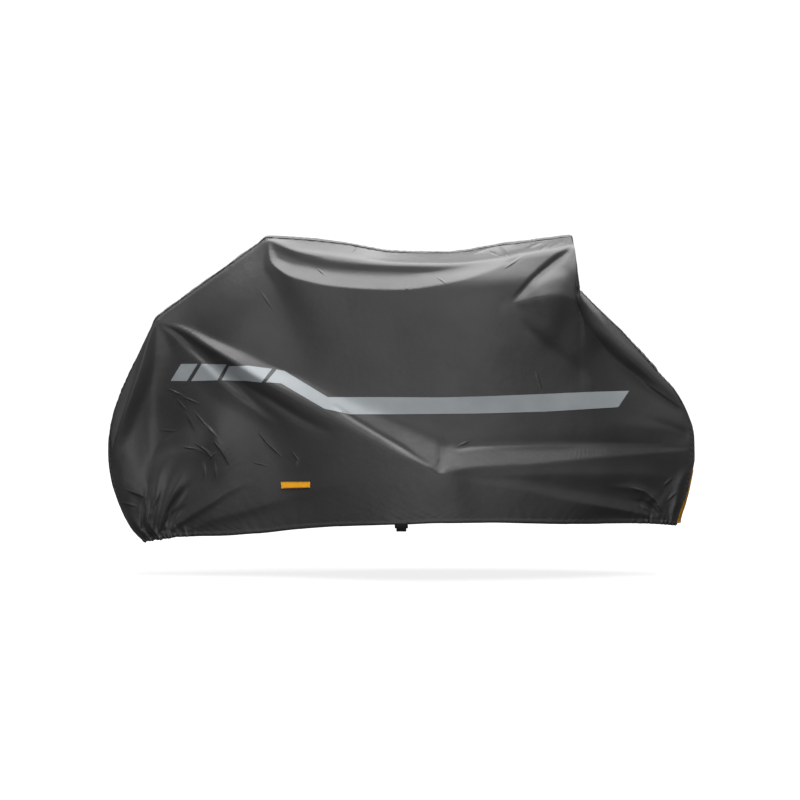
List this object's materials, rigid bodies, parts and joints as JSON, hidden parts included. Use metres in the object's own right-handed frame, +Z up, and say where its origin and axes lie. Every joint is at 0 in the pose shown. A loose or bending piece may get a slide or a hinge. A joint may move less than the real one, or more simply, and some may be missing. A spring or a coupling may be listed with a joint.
{
  "type": "bicycle cover",
  "caption": "Fitted dust and rain cover for a bicycle, draped as in use, with an elastic hem and a strap under the middle.",
  "frame": {"origin": "the underside of the cover's top where the saddle holds it up, 1020.5 mm above the ground that the bicycle stands on", "axes": "+X to the front of the bicycle, +Y to its left, +Z up"},
  "size_m": [1.7889, 0.4831, 0.933],
  "materials": {
    "cloth": "satin coated polyester",
    "orange": "matte woven",
    "webbing": "woven webbing",
    "plastic": "matte"
  },
  "bodies": {
    "root": {"panel_right": "cloth", "panel_left": "cloth", "gusset": "cloth", "side_label": "orange", "front_tab": "orange", "strap_right": "webbing", "strap_left": "webbing", "buckle_socket": "plastic", "buckle_plug": "plastic"}
  },
  "joints": []
}
